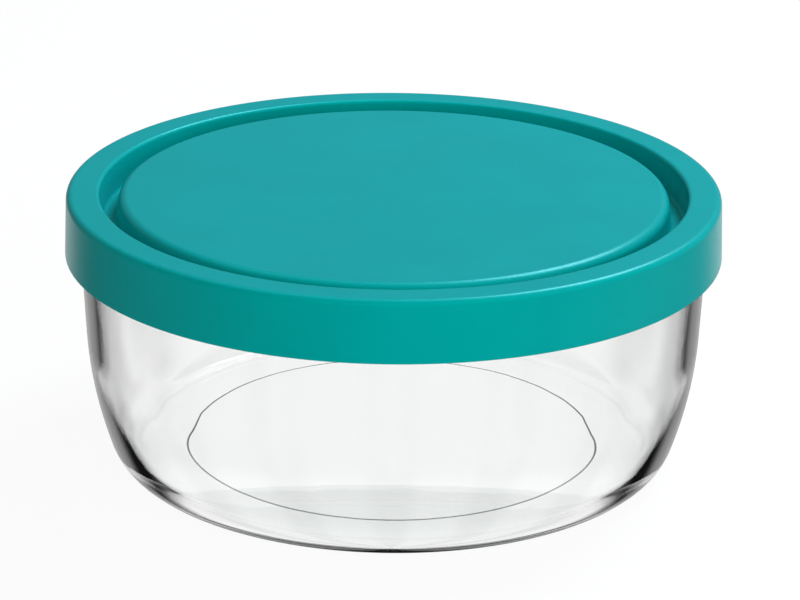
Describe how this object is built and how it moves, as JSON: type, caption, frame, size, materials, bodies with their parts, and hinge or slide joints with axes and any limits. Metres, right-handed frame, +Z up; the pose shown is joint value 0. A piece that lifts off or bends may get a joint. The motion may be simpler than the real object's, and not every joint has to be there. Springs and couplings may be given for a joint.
{
  "type": "glass storage container",
  "caption": "Round clear pressed-glass food container, gently tapered with a rounded heel, closed by a one-piece press-fit plastic lid with a grooved rim and flat centre panel.",
  "frame": {"origin": "centre of the bowl's flat resting face", "axes": "+Z up along the axis of revolution, from the base to the lid; +X and +Y are any two square directions, because the object is round"},
  "size_m": [0.151, 0.151, 0.0642],
  "materials": {
    "clear_glass": "clear fire-polished pressed glass",
    "lid_plastic": "satin moulded polyethylene, opaque teal"
  },
  "bodies": {
    "bowl": {"glass_bowl": "clear_glass"},
    "lid": {"lid": "lid_plastic"}
  },
  "joints": [
    {"name": "lid_lift", "type": "slide", "parent": "bowl", "child": "lid", "axis": [0, 0, 1], "range_m": [0, 0.04]}
  ]
}
